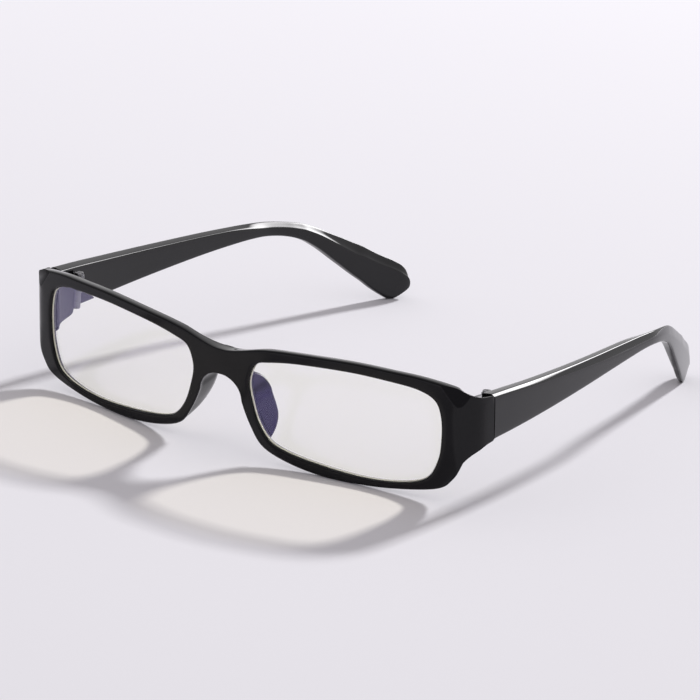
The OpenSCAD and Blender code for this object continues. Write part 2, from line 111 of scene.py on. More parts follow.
# Joints
JOINT_H = 12.0  # height of the joint's flat end
JOINT_DIP = 6.2  # how far the joint's top lies below the rims' top
JOINT_GAP = 0.15  # gap between the endpiece and the temple
HINGE_BACK = 4.4  # how far the hinge screw stands behind the middle of the joint
KNUCKLE_R = 1.4  # radius of the hinge knuckles
TONGUE_GAP = 0.15  # gap between the endpiece's tongue and the knuckles
TONGUE_FIT = 0.5  # gap between the tongue and the temple's inner side

# Temples. Places along a temple are shares of its length, from the joint on.
TEMPLE_LEN = 130.6  # length from the joint to the tip
TEMPLE_T = 4.0  # thickness at the joint
TIP_T = 2.6  # thickness at the tip
TIP_THIN = 0.7  # how much thinner the flat of the tip is
TIP_THIN_SPAN = (0.75, 0.2)  # where it starts to get thinner, and over what share
BOW_IN = 6.0  # how far the temple has bowed inwards at the waist
BOW_CURVE = 1.85  # how late it bows, where 1 is evenly
TIP_IN = 8.8  # how far the tip turns inwards beyond the bow
TIP_START = 0.25  # how gently this turn begins
TIP_LIFT = 3.4  # height of the tip's end above the table
TIP_H = 11.1  # height of the tip
TIP_GROW_SPAN = (0.66, 0.3)  # where the temple starts to grow to the tip's height, and over what share
WAIST = 0.62  # place of the least height
WAIST_H = 3.6  # height there
WAIST_CURVE = 1.2  # how early the height falls towards the waist, where 1 is evenly
TOE = 0.94  # where the tip comes down to the table
HEEL = 0.953  # where it leaves the table again
HEEL_CURVE = 1.1  # how late it rises from there, where 1 is evenly
END = 0.955  # where the tip's end starts to round
TIP_END = 0.991  # the blunt end's last station
END_BLUNT = 4.3  # how blunt the end is, where 2 is a plain round
END_THIN = 0.4  # share of the thickness that the end keeps
END_LEAST_H = 0.4  # least height of the end
ARM_R = 0.6  # radius of the rounds along the lower edges
RIDGE_H = (0.8, 2.2)  # height of the slope along the outer top edge, at the joint and from RIDGE_FULL on
RIDGE_FULL = 0.6  # place where this slope has its full height
RIDGE_MOST = 0.45  # most of that height, as a share of the temple's height
RIDGE_W = 0.26  # width of that slope, as a share of the thickness
RIDGE_R = 0.25  # size of the round on its edges
TOP_STEEP = (0.12, 1.5)  # how steeply the top falls inwards, at the joint and at the tip
TOP_STEEP_SPAN = (0.5, 0.35)  # where it starts to get steeper, and over what share
TOP_FALL = 0.3  # most that the top falls, as a share of the height
TOP_END = 0.6  # distance from the inner side at which most of this fall is done
TOP_ROUND = 0.15  # distance from the inner side to the middle of the round of the inner top edge
FLUSH = 0.06  # share of the temple that turns from the joint's slope to upright
BEND = 0.72  # place where the temple's bend starts, from which its stations lie closer together
JOINT_STOPS = (0, 0.0015, 0.006, 0.012, 0.021, 0.03, 0.045)  # stations up to FLUSH
ARM_ROWS = 34  # stations from FLUSH to BEND
BEND_ROWS = 20  # stations from BEND to TOE
END_TURN = 8  # degrees between the stations of the rounded end
TOP_KEYS = [  # place, and height of the top edge as a share of its height at the joint
    (0, 1), (0.15, 0.98), (0.31, 0.964), (0.46, 0.953), (0.57, 0.94), (0.635, 0.92),
    (0.705, 0.876), (0.745, 0.825), (0.806, 0.703), (0.878, 0.554), (0.917, 0.452),
    (0.952, 0.373), (1, 0.254),
]

# Keys of the lens opening, as shares of half its width and height
OPENING = [
    (-0.925, 0.741), (-0.754, 0.852), (-0.426, 0.948), (0.10, 1.0), (0.529, 0.956),
    (0.786, 0.881), (0.941, 0.711), (0.996, 0.385), (1.0, -0.022), (0.976, -0.393),
    (0.893, -0.748), (0.747, -0.911), (0.489, -0.993), (0.172, -1.0), (-0.224, -0.933),
    (-0.56, -0.837), (-0.758, -0.704), (-0.889, -0.407), (-0.964, -0.022), (-1.0, 0.378),
]
# Keys of the front's outline, as shares of the opening with its rim. (0, 0) stands for a key that
# outline_key gives.
OUTLINE = [
    (0, 0), (-0.759, 0.889), (-0.412, 0.957), (0.087, 1.0), (0.475, 0.975),
    (0.732, 0.935), (0, 0), (0, 0), (0, 0), (1.062, -0.365),
    (0.969, -0.66), (0.842, -0.846), (0.475, -0.962), (0.149, -0.997), (-0.2, -0.981),
    (-0.519, -0.885), (-0.756, -0.718), (-0.88, -0.417), (-0.975, -0.032), (0, 0),
]
KEYS = len(OPENING)
CREASE_KEY = 6  # top of the first crease
JOINT_KEY = 7  # top of the joint
UNDER_KEY = 8  # bottom of the joint
LOW_KEY = 9  # where the endpiece's lower edge meets the rim
PAD_KEY = KEYS - 4  # where the nose pad begins to grow
NOSE_KEY = KEYS - 3  # last stretch of rim beside the nose
ARCH_KEY = KEYS - 2  # start of the arch under the bridge
BRIDGE_KEY = KEYS - 1  # bridge's lower edge in the middle
FLAT_KEYS = (JOINT_KEY, BRIDGE_KEY)  # from these keys to the next, the outline is a flat end
THIRDS = (0, 1 / 3, 2 / 3, 1)  # the stations at a flat end's own corners
FLAT_SHARES = {JOINT_KEY: (0, 0.22, 0.95, 1), BRIDGE_KEY: (0, 0.05, 0.84, 1)}  # where these lie on it
TOP_SHARE = 0.58  # two thirds of the endpiece's stations lie on this first share of its top

# How finely the pieces are divided
STEPS = 8  # stations from one key to the next
EVEN = [j / STEPS for j in range(STEPS)]
END_STOPS = [0, 0.08, 0.2, 1 / 3, 0.42, 0.5, 0.58, 2 / 3, 0.8, 0.92]  # the same along a flat end
ACROSS = 6  # points across the front's face, between its rounds
NORMAL_STEP = 0.33  # how far to each side of a station its outward direction is judged
ROUND_MID = 0.3  # distance of a round's middle point from both sides, as a share of its radius

LENS_C = np.array([BRIDGE_W / 2 + LENS_W / 2, -LENS_DROP])
TOP_V = LENS_C[1] + LENS_H / 2 + RIM_TOP
CREASE_V = TOP_V - CREASE_DROP
BRIDGE_TOP = TOP_V - BRIDGE_DIP
BRIDGE_LOW = BRIDGE_TOP - BRIDGE_H
JOINT_TOP = TOP_V - JOINT_DIP
JOINT_LOW = JOINT_TOP - JOINT_H
FACE_X = LENS_C[0] + LENS_W / 2 + CREASE_X


def sin(a):
    return math.sin(math.radians(a))


def cos(a):
    return math.cos(math.radians(a))


def lerp(a, b, t):
    return a + (b - a) * t


def smooth(t):
    c = min(1.0, max(0.0, t))
    return c * c * (3 - 2 * c)


def over(span, u):
    """A smooth rise from 0 to 1 over a span (start, length)."""
    return smooth((u - span[0]) / span[1])


def curve(a, b, c, d, t):
    """Smooth curve from b to c, which a and d lead into and out of."""
    return b + 0.5 * t * (c - a + t * (2 * a - 5 * b + 4 * c - d + t * (3 * (b - c) + d - a)))


# Plan curve of the front: the curved face, then two creases with a straight leg behind each
FACE_TURN = math.degrees(math.asin(FACE_X / FACE_R))
CREASE_LEN_1 = CREASE_R * math.radians(CORNER_ANGLE - FACE_TURN)
CREASE_LEN_2 = CREASE_R * math.radians(SIDE_ANGLE - CORNER_ANGLE)
FACE_W = FACE_X - CREASE_LEN_1 / 2
FACE_HEADING = math.degrees(math.asin(FACE_W / FACE_R))


def along(leg, start, w):
    """Place (w, x, y, heading) after w of a leg (length, turn)."""
    h = start[3]
    turn = leg[1] * w / leg[0]
    if turn == 0:
        step = (w * cos(h), w * sin(h))
    else:
        r = w / math.radians(turn)
        step = (r * (sin(h + turn) - sin(h)), r * (cos(h) - cos(h + turn)))
    return (start[0] + w, start[1] + step[0], start[2] + step[1], h + turn)


LEGS = [
    (CREASE_LEN_1, CORNER_ANGLE - FACE_HEADING),
    (CORNER_LEN - (CREASE_LEN_1 + CREASE_LEN_2) / 2, 0),
    (CREASE_LEN_2, SIDE_ANGLE - CORNER_ANGLE),
    (SIDE_LEN - CREASE_LEN_2 / 2, 0),
]
LEG_STARTS = [(FACE_W, FACE_W, FACE_R * (1 - cos(FACE_HEADING)), FACE_HEADING)]
for leg in LEGS:
    LEG_STARTS.append(along(leg, LEG_STARTS[-1], leg[0]))
JOINT_W, SIDE_X, JOINT_BACK = LEG_STARTS[-1][:3]
CORNER_W = LEG_STARTS[2][0] + CREASE_LEN_2 / 2


def plan(w):
    """Place (x, y) of the front's face, w along it from the middle."""
    if w < FACE_W:
        return w, FACE_R * (1 - math.sqrt(1 - (w / FACE_R) ** 2))
    k = max(i for i in range(len(LEGS)) if LEG_STARTS[i][0] <= w)
    return along(LEGS[k], LEG_STARTS[k], w - LEG_STARTS[k][0])[1:3]


def heading(w):
    if w < FACE_W:
        return math.degrees(math.asin(w / FACE_R))
    return lerp(FACE_HEADING, 90, min(1, (w - FACE_W) / (CORNER_W - FACE_W)))


def bent(w, v, d):
    """A point of the flat front, w along it, v up and d behind its face, on the leaning front."""
    h = heading(w)
    x, y = plan(w)
    x -= d * sin(h)
    y += d * cos(h)
    return (x, y * cos(FRONT_LEAN) - v * sin(FRONT_LEAN), v * cos(FRONT_LEAN) + y * sin(FRONT_LEAN))


# Outlines of the lens opening and of the front, on the flat front
def opening_key(k):
    return LENS_C + np.array(OPENING[k % KEYS]) * (LENS_W / 2, LENS_H / 2)


def opening(s):
    k = math.floor(s)
    return curve(opening_key(k - 1), opening_key(k), opening_key(k + 1), opening_key(k + 2), s - k)


def opening_out(s):
    """Direction from the lens opening out into the rim."""
    d = opening(s + NORMAL_STEP) - opening(s - NORMAL_STEP)
    return np.array([-d[1], d[0]]) / np.hypot(*d)


def outline_key(k):
    special_keys = {
        0: (0, BRIDGE_TOP), CREASE_KEY: (FACE_X, CREASE_V), JOINT_KEY: (JOINT_W, JOINT_TOP),
        UNDER_KEY: (JOINT_W, JOINT_LOW), BRIDGE_KEY: (0, BRIDGE_LOW),
    }
    if k in special_keys:
        return np.array(special_keys[k])
    across, up = OUTLINE[k]
    return LENS_C + np.array([
        across * (LENS_W / 2 + (RIM_NASAL if across < 0 else RIM_OUTER)),
        up * (LENS_H / 2 + (RIM_BOTTOM if up < 0 else RIM_TOP)),
    ])


def endpiece_top(w):
    return lerp(JOINT_TOP, CREASE_V, ((JOINT_W - w) / (JOINT_W - FACE_X)) ** TOP_CURVE)


def outline(s):
    s %= KEYS
    k = math.floor(s)
    t = s - k
    b = outline_key(k)
    c = outline_key((k + 1) % KEYS)
    if k == 0:
        return curve(c * (-1, 1), b, c, outline_key(2), t)
    if k == CREASE_KEY:
        x = lerp(b[0], c[0], np.interp(t, (0, 2 / 3, 1), (0, TOP_SHARE, 1)))
        return np.array([x, endpiece_top(x)])
    if k in FLAT_KEYS:
        return lerp(b, c, np.interp(t, THIRDS, FLAT_SHARES[k]))
    if k == UNDER_KEY:
        return np.array([lerp(b[0], c[0], t), lerp(b[1], c[1], t ** LOW_CURVE)])
    if k == LOW_KEY:
        return curve(b + LOW_LEAD, b, c, outline_key(k + 2), t)
    if k == NOSE_KEY:
        return curve(outline_key(k - 1), b, c, c + BRIDGE_LEAD, t)
    if k == ARCH_KEY:
        return np.array([b[0] * cos(90 * t), lerp(b[1], c[1], sin(90 * t))])
    return curve(outline_key(k - 1), b, c, outline_key((k + 2) % KEYS), t)


def thickness(w):
    if w < FACE_W:
        return lerp(BRIDGE_T, RIM_T, smooth(w / (BRIDGE_W / 2 + BRIDGE_BLEND)))
    return lerp(RIM_T, END_T, smooth((w - FACE_W) / (CORNER_W - FACE_W)))


def pad_rise(s):
    """How far the nose pad has grown at a station."""
    last = len(PAD_RISE) - 1
    t = (s - PAD_KEY) * 3
    if not 0 < t < last:
        return 0.0
    k = math.floor(t)
    a, b, c, d = (PAD_RISE[min(max(j, 0), last)] for j in range(k - 1, k + 3))
    return min(1.0, max(0.0, curve(a, b, c, d, t - k)))


def pad_points(w):
    """Section of a full-grown nose pad behind a rim of width w: the nose side, rear edge, lens side.

    The shares of PAD_T round its rear edge.
    """
    half = PAD_T / 2
    flank = PAD_SPREAD * (PAD_DEPTH - half - RIM_T) / (PAD_DEPTH - RIM_T)
    shoulder = PAD_DEPTH - ROUND_MID * half
    return np.array([
        (w - flank, PAD_DEPTH - half), (w - PAD_SPREAD - 0.15 * PAD_T, shoulder),
        (w - PAD_SPREAD - 0.5 * PAD_T, PAD_DEPTH), (w - PAD_SPREAD - 0.85 * PAD_T, shoulder),
        (w - flank - PAD_T, PAD_DEPTH - half),
        (w - 0.5 * PAD_SPREAD - PAD_T, lerp(RIM_T, PAD_DEPTH, 0.45)),
        (w - 0.15 * PAD_SPREAD - PAD_T, RIM_T + PAD_ROOT),
    ])


def section(s):
    """Closed section of the front at a station: face from the lens out, side, rear back, groove."""
    k = math.floor(s)
    start = opening(s)
    end = outline(s)
    out = opening_out(s)
    width = np.hypot(*(end - start))
    way = (end - start) / width
    r = EDGE_R
    rounded = np.interp(s - k, THIRDS, (1, 0, 0, 1)) if k in FLAT_KEYS else 1.0
    rise = pad_rise(s)
    pad = pad_points(width)
    tongue = HINGE_BACK - KNUCKLE_R - TONGUE_GAP if JOINT_KEY <= s <= UNDER_KEY else 0.0
    side_d = TEMPLE_T + TONGUE_FIT if tongue else thickness(end[0]) / 2
    if k == JOINT_KEY:
        draft = REAR_DRAFT * rounded
    else:
        draft = 0.0 if k == BRIDGE_KEY or s == 0 else REAR_DRAFT
    if s < 1:
        fall = BRIDGE_FALL * (1 - s)
    else:
        fall = END_FALL * max(0, min(s - CREASE_KEY, 1 - 3 * (s - JOINT_KEY)))

    def back(v):
        """How far the tongue stands out behind the joint, whose end stays upright."""
        return tongue + (v - (JOINT_TOP + JOINT_LOW) / 2) * sin(FRONT_LEAN) if tongue else 0.0

    face = [(0, r), (ROUND_MID * r, ROUND_MID * r), (r, 0)]
    face += [(lerp(r, width - r, j / (ACROSS + 1)), 0) for j in range(1, ACROSS + 1)]
    face += [(width - r, 0), (width - ROUND_MID * r, ROUND_MID * r * rounded), (width, r * rounded)]
    points = [bent(*(start + way * p[0]), p[1]) for p in face]

    middle = width - rise * 0.35 * PAD_SPREAD - DRAFT_MID * draft
    q = start + way * middle - (0, fall * side_d / thickness(end[0]))
    points += [bent(q[0] + stand * back(q[1]), q[1], side_d) for stand in (0, 1)]

    for j, (place, depth) in enumerate(reversed(face)):
        x = place - draft * (place / width) ** 2
        rear = np.array([x, thickness((start + way * x)[0]) - depth])
        if j < len(pad) and rise > 0:
            rear = lerp(rear, pad[j], rise)
        q = start + way * rear[0]
        q = q + (back(q[1]) if j < 3 else 0, -fall * (place / width) ** 3)
        points.append(bent(q[0], q[1], rear[1]))

    for inset, offset in ((0, GROOVE_HALF_W), (GROOVE_DEPTH, 0), (0, -GROOVE_HALF_W)):
        q = start + out * inset
        points.append(bent(q[0], q[1], RIM_T / 2 + offset))
    return points


# The front's sections, and where the front rests. Its flat ends have stations at their own corners.
STATIONS = [k + t for k in range(KEYS) for t in (END_STOPS if k in FLAT_KEYS else EVEN)]
SECTIONS = np.array([section(s) for s in STATIONS])
REST_Z = -SECTIONS[:, :, 2].min()
MID_Y = SECTIONS[:, :, 1].min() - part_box("front_frame")[0].y / MM
JOINT_HIGH_Z = bent(JOINT_W, JOINT_TOP, 0)[2] + REST_Z
JOINT_LOW_Z = bent(JOINT_W, JOINT_LOW, 0)[2] + REST_Z


def joint_y(z):
    """Place of the leaning joint at a height."""
    return (JOINT_BACK - (z - REST_Z) * sin(FRONT_LEAN)) / cos(FRONT_LEAN)


TEMPLE_Y = joint_y((JOINT_HIGH_Z + JOINT_LOW_Z) / 2)


def placed(p):
    """From the standing front's place to the part's frame, in metres."""
    return (p[0] * MM, (p[1] - MID_Y) * MM, p[2] * MM)


def stood(p):
    """From the leaning front's place, before it stands on its rims, to the part's frame."""
    return placed((p[0], p[1], p[2] + REST_Z))


# Mesh helpers. Edges sharper than these angles, in degrees, stay sharp in the shading.
FRONT_SHARP = 32
LENS_SHARP = 25
TEMPLE_SHARP = 30


def mesh_object(name, verts, faces):
    mesh = bpy.data.meshes.new(name)
    mesh.from_pydata([tuple(v) for v in verts], [], [tuple(f) for f in faces])
    mesh.update()
    obj = bpy.data.objects.new(name, mesh)
    bpy.context.scene.collection.objects.link(obj)
    return obj


def opened(obj):
    """The object's mesh, open for changes."""
    bm = bmesh.new()
    bm.from_mesh(obj.data)
    return bm


def close(bm, obj):
    """Write the changes back to the object's mesh."""
    bm.to_mesh(obj.data)
    bm.free()
    obj.data.update()


def tube_faces(rows, around, closed=False):
    """Quads between neighbouring rows of points, and from the last to the first if closed."""
    faces = []
    for i in range(rows if closed else rows - 1):
        near = i * around
        far = (i + 1) % rows * around
        for k in range(around):
            after = (k + 1) % around
            faces.append((near + k, near + after, far + after, far + k))
    return faces


def subdivide(obj, levels):
    """Give the object the mesh of its subdivision surface."""
    mod = obj.modifiers.new("smooth", "SUBSURF")
    mod.levels = mod.render_levels = levels
    mod.boundary_smooth = "PRESERVE_CORNERS"
    graph = bpy.context.evaluated_depsgraph_get()
    mesh = bpy.data.meshes.new_from_object(obj.evaluated_get(graph))
    obj.modifiers.clear()
    old = obj.data
    obj.data = mesh
    bpy.data.meshes.remove(old)
    mesh.name = obj.name


def finish_shading(obj, angle):
    """Smooth shading, broken along edges sharper than the angle."""
    bm = opened(obj)
    bmesh.ops.recalc_face_normals(bm, faces=bm.faces)
    for f in bm.faces:
        f.smooth = True
    for e in bm.edges:
        e.smooth = len(e.link_faces) == 2 and e.calc_face_angle(0.0) < math.radians(angle)
    close(bm, obj)


def mirrored(obj, name):
    """A copy of a left piece for the right side."""
    mesh = obj.data.copy()
    mesh.transform(Matrix.Diagonal((-1, 1, 1, 1)))
    mesh.flip_normals()
    mesh.name = name
    copy = bpy.data.objects.new(name, mesh)
    bpy.context.scene.collection.objects.link(copy)
    return copy


# Front
def build_front():
    count, around = SECTIONS.shape[:2]
    obj = mesh_object("front", [stood(p) for row in SECTIONS for p in row], tube_faces(count, around, True))
    bm = opened(obj)
    middle = [f for f in bm.faces if all(abs(v.co.x) < TINY for v in f.verts)]
    bmesh.ops.delete(bm, geom=middle, context="FACES_ONLY")
    loose = [e for e in bm.edges if not e.link_faces]
    bmesh.ops.delete(bm, geom=loose, context="EDGES")
    bmesh.ops.recalc_face_normals(bm, faces=bm.faces)
    close(bm, obj)
    subdivide(obj, 1)
    join_halves(obj)
    for side in (1, -1):
        cut_corner(obj, side)
    finish_shading(obj, FRONT_SHARP)
    return obj


def join_halves(obj):
    """Cut the half near the middle, run it straight to the middle and mirror it."""
    bm = opened(obj)
    everything = bm.verts[:] + bm.edges[:] + bm.faces[:]
    bmesh.ops.bisect_plane(
        bm, geom=everything, dist=TINY / 10, plane_co=(MIDDLE_W * MM, 0, 0), plane_no=(1, 0, 0),
        clear_inner=True,
    )
    rim = [e for e in bm.edges if len(e.link_faces) == 1]
    new = bmesh.ops.extrude_edge_only(bm, edges=rim)["geom"]
    for v in (g for g in new if isinstance(g, bmesh.types.BMVert)):
        v.co.x = 0
    half = bm.verts[:] + bm.edges[:] + bm.faces[:]
    bmesh.ops.mirror(bm, geom=half, axis="X", merge_dist=TINY)
    bmesh.ops.remove_doubles(bm, verts=bm.verts, dist=2 * TINY)
    bmesh.ops.recalc_face_normals(bm, faces=bm.faces)
    close(bm, obj)


def cut_corner(obj, side):
    """The flat cut across a top outer corner, with its face closed."""
    outer_w = FACE_X + FACET_OUT
    corners = (
        bent(FACE_X, TOP_V - FACET_H, 0), bent(outer_w, endpiece_top(outer_w), FACET_DEPTH),
        bent(FACE_X - FACET_IN, TOP_V - CREASE_DROP / 2, 0),
    )
    a, b, c = (Vector(stood(p)) for p in corners)
    normal = (b - a).cross(c - a).normalized()
    centre = (a + b + c) / 3
    normal.x *= side
    centre.x *= side
    bm = opened(obj)
    near = [f for f in bm.faces if (f.calc_center_median() - centre).length < FACET_REACH * MM]
    geom = near + list({e for f in near for e in f.edges}) + list({v for f in near for v in f.verts})
    cut = bmesh.ops.bisect_plane(
        bm, geom=geom, dist=TINY / 10, plane_co=centre, plane_no=normal, clear_outer=True
    )["geom_cut"]
    rim = [e for e in cut if isinstance(e, bmesh.types.BMEdge) and len(e.link_faces) == 1]
    for f in bmesh.ops.holes_fill(bm, edges=rim, sides=0)["faces"]:
        # the cut's faces take the second slot: the same black plastic with a lower IOR, which paints the
        # shade these faces show
        f.material_index = 1
    close(bm, obj)


# Lenses
def lens_point(q, share, side):
    """A point of a lens face, where share is 0 in its middle and 1 at its edge."""
    depth = RIM_T / 2 + side * LENS_T / 2 - LENS_BULGE * (1 - share * share)
    return stood(bent(q[0], q[1], depth))


def build_lens():
    stops = [k + t for k in range(KEYS) for t in EVEN]

    def ring(share, out, side):
        rim = (opening(s) + opening_out(s) * out for s in stops)
        return [lens_point(LENS_C + (q - LENS_C) * share, share, side) for q in rim]

    rear = [ring(share, -LENS_FIT - LENS_BORDER, 1) for share in (*reversed(LENS_RINGS), 1)]
    bevel = [ring(1, -LENS_FIT, 1), ring(1, GROOVE_DEPTH - LENS_FIT, 0), ring(1, -LENS_FIT, -1)]
    fore = [ring(share, -LENS_FIT, -1) for share in LENS_RINGS]
    rings = rear + bevel + fore
    n = len(stops)
    verts = [p for points in rings for p in points]
    faces = tube_faces(len(rings), n)
    for first, side in ((0, 1), ((len(rings) - 1) * n, -1)):
        verts.append(lens_point(LENS_C, 0, side))
        faces += [(first + k, first + (k + 1) % n, len(verts) - 1) for k in range(n)]
    obj = mesh_object("lens_glass_left", verts, faces)
    bevel_first = len(rear) * n
    for face in obj.data.polygons[bevel_first:bevel_first + 2 * n]:
        face.material_index = 1
    finish_shading(obj, LENS_SHARP)
    return obj


# Temples
def top_edge(u):
    """Height of the temple's top edge before its end is rounded."""
    n = len(TOP_KEYS) - 1
    k = max(i for i in range(n) if TOP_KEYS[i][0] <= u)
    t = (u - TOP_KEYS[k][0]) / (TOP_KEYS[k + 1][0] - TOP_KEYS[k][0])
    shares = [TOP_KEYS[min(max(j, 0), n)][1] for j in range(k - 1, k + 3)]
    return JOINT_HIGH_Z * curve(*shares, t)


def end_round(u):
    """1 before the blunt end, falling to 0 at its last station."""
    t = max(0, (u - END) / (TIP_END - END))
    return math.sqrt(max(0, 1 - t ** END_BLUNT))


def temple_heights(u):
    top = lerp(TIP_LIFT, top_edge(u), end_round(u))
    if u < WAIST:
        height = lerp(WAIST_H, JOINT_HIGH_Z - JOINT_LOW_Z, (1 - u / WAIST) ** WAIST_CURVE)
    else:
        height = lerp(WAIST_H, TIP_H, over(TIP_GROW_SPAN, u))
    low = max(0, top_edge(u) - height) if u < TOE else 0.0
    if u > HEEL:
        low = min(top - END_LEAST_H, TIP_LIFT * ((u - HEEL) / (1 - HEEL)) ** HEEL_CURVE)
    return low, top


def temple_section(u):
    """Closed section of a temple: lower outer round, ridge, top, inner side, lower inner round.

    The shares of ridge_w and fall round the edges of the ridge and the top.
    """
    low, top = temple_heights(u)
    v = max(0, u - WAIST) / (1 - WAIST)
    x = SIDE_X - BOW_IN * (u / WAIST) ** BOW_CURVE
    x -= TIP_IN * (1 + TIP_START) * v * v / (v + TIP_START)
    t = lerp(TEMPLE_T, TIP_T, u) - TIP_THIN * over(TIP_THIN_SPAN, u)
    t *= lerp(END_THIN, 1, end_round(u))
    inner = x - t
    h = top - low
    r = min(ARM_R, h / 4)
    m = ROUND_MID * r
    e = min(RIDGE_R, h / 8)
    ridge_h = min(lerp(*RIDGE_H, smooth(u / RIDGE_FULL)), h * RIDGE_MOST)
    ridge_w = t * RIDGE_W
    fall = min(h * TOP_FALL, lerp(*TOP_STEEP, over(TOP_STEEP_SPAN, u)) * (t - ridge_w))
    points = [
        (x - r, low), (x - m, low + m), (x, low + r), (x, lerp(low, top, 0.5)),
        (x, top - ridge_h - e), (x - 0.12 * ridge_w, top - ridge_h + e),
        (x - 0.85 * ridge_w, top - 0.5 * e), (x - 1.15 * ridge_w, top),
        (x - 1.6 * ridge_w, top - 0.12 * fall), (inner + TOP_END, top - 0.86 * fall),
        (inner + TOP_ROUND, top - fall - 0.5 * e), (inner, top - fall - 2 * e),
        (inner, lerp(low, top, 0.45)), (inner, low + r), (inner + m, low + m), (inner + r, low),
    ]
    y = TEMPLE_Y + TEMPLE_LEN * u
    flush = max(0, 1 - u / FLUSH) ** 2
    return [(p[0], lerp(y, joint_y(p[1]), flush) + JOINT_GAP * (1 - u), p[1]) for p in points]


def build_temple():
    stops = [*JOINT_STOPS, FLUSH]
    stops += [lerp(FLUSH, BEND, (k + 1) / ARM_ROWS) for k in range(ARM_ROWS)]
    stops += [lerp(BEND, TOE, (k + 1) / BEND_ROWS) for k in range(BEND_ROWS)]
    stops += [(TOE + HEEL) / 2, HEEL]
    stops += [lerp(END, TIP_END, sin(a)) for a in range(END_TURN, 90, END_TURN)]
    rows = [temple_section(u) for u in stops]
    n = len(rows[0])
    faces = tube_faces(len(rows), n)
    faces += [range(n), range((len(rows) - 1) * n, len(rows) * n)]
    obj = mesh_object("temple_arm_left", [placed(p) for row in rows for p in row], faces)
    bm = opened(obj)
    bmesh.ops.recalc_face_normals(bm, faces=bm.faces)
    crease = bm.edges.layers.float.new("crease_edge")
    for e in bm.edges:
        if all(v.index < n for v in e.verts):
            e[crease] = 1.0
    close(bm, obj)
    subdivide(obj, 2)
    finish_shading(obj, TEMPLE_SHARP)
    return obj


# Materials. Each pair of colours is mixed by a noise.
BLACK = ((0.0076, 0.0074, 0.0086), (0.0110, 0.0107, 0.0124))
LENS_TINT = ((0.995, 0.993, 0.975), (1.0, 0.998, 0.985))
GROUND_GLASS = ((0.84, 0.85, 0.79), (0.97, 0.97, 0.93))
HINGE_NICKEL = ((0.14, 0.14, 0.15), (0.24, 0.24, 0.25))
SCREW_NICKEL = ((0.16, 0.16, 0.17), (0.28, 0.28, 0.29))
PALE_TABLE = ((0.79, 0.78, 0.82), (0.83, 0.82, 0.86))
NOISE_RANGE = (0.3, 0.7)  # a noise mostly stays between these
COATING = (0.43, 0.36, 1.0, 1.0)  # tint of what a lens mirrors
LENS_SHADOW = (0.995, 0.975, 0.91, 1)  # tint of the light that a lens lets through to the table
FRONT_IOR = 1.28  # a low IOR mirrors little, as the polished black does in the photograph
# painted shade: a lower IOR than the front's, so that the corner's flat cut mirrors almost nothing and
# renders darker than its neighbours
CUT_SHADE_IOR = 1.12
TEMPLE_IOR = 1.38
LENS_IOR = 1.74
HINGE_ROUGH = 0.26
SCREW_ROUGH = 0.24
ROUGH_SPAN = 0.14  # how much rougher a metal's grain gets


def map_range(nodes, links, source, values):
    """A map of the source with values (from low, from high, to low, to high)."""
    node = nodes.new("ShaderNodeMapRange")
    for socket, value in zip(("From Min", "From Max", "To Min", "To Max"), values):
        node.inputs[socket].default_value = value
    links.new(source, node.inputs["Value"])
    return node.outputs["Result"]


def either_ray(nodes, links, *kinds):
    """1 for a ray of one of two kinds."""
    path = nodes.new("ShaderNodeLightPath")
    node = nodes.new("ShaderNodeMath")
    node.operation = "MAXIMUM"
    for k, kind in enumerate(kinds):
        links.new(path.outputs[kind], node.inputs[k])
    return node.outputs[0]


def mixed(nodes, links, factor, first, second):
    node = nodes.new("ShaderNodeMixShader")
    for k, source in enumerate((factor, first, second)):
        links.new(source, node.inputs[k])
    return node.outputs[0]


class Finish:
    """A material of one shader, whose sockets its methods fill."""

    def __init__(self, name):
        self.material = bpy.data.materials.new(name)
        self.material.use_nodes = True
        self.nodes = self.material.node_tree.nodes
        self.links = self.material.node_tree.links
        self.nodes.clear()
        self.out = self.nodes.new("ShaderNodeOutputMaterial")
        self.shader = self.nodes.new("ShaderNodeBsdfPrincipled")
        self.links.new(self.shader.outputs[0], self.out.inputs["Surface"])

    def noise(self, scale, detail, stretch=None, roughness=0.5):
        coord = self.nodes.new("ShaderNodeTexCoord")
        source = coord.outputs["Object"]
        if stretch:
            mapping = self.nodes.new("ShaderNodeMapping")
            mapping.inputs["Scale"].default_value = stretch
            self.links.new(source, mapping.inputs["Vector"])
            source = mapping.outputs["Vector"]
        tex = self.nodes.new("ShaderNodeTexNoise")
        for socket, value in zip(("Scale", "Detail", "Roughness"), (scale, detail, roughness)):
            tex.inputs[socket].default_value = value
        self.links.new(source, tex.inputs["Vector"])
        return tex.outputs["Fac"]

    def colour(self, source, low, high):
        node = self.nodes.new("ShaderNodeValToRGB")
        for element, place, colour in zip(node.color_ramp.elements, NOISE_RANGE, (low, high)):
            element.position = place
            element.color = (*colour, 1)
        self.links.new(source, node.inputs["Fac"])
        self.links.new(node.outputs["Color"], self.shader.inputs["Base Color"])

    def rough(self, source, low, high):
        value = map_range(self.nodes, self.links, source, (*NOISE_RANGE, low, high))
        self.links.new(value, self.shader.inputs["Roughness"])

    def bump(self, source, distance, strength):
        node = self.nodes.new("ShaderNodeBump")
        node.inputs["Distance"].default_value = distance
        node.inputs["Strength"].default_value = strength
        self.links.new(source, node.inputs["Height"])
        self.links.new(node.outputs["Normal"], self.shader.inputs["Normal"])

    def set(self, socket, value):
        self.shader.inputs[socket].default_value = value


def black_plastic(name, ior):
    """Polished black plastic with a faint mottle, wiping smears and moulding ripples."""
    finish = Finish(name)
    finish.colour(finish.noise(scale=90, detail=4), *BLACK)
    smear = finish.noise(scale=260, detail=5, stretch=(1.0, 0.35, 1.0), roughness=0.6)
    finish.rough(smear, low=0.045, high=0.085)
    finish.bump(finish.noise(scale=420, detail=2), distance=0.000008, strength=0.5)
    finish.set("IOR", ior)
    return finish.material


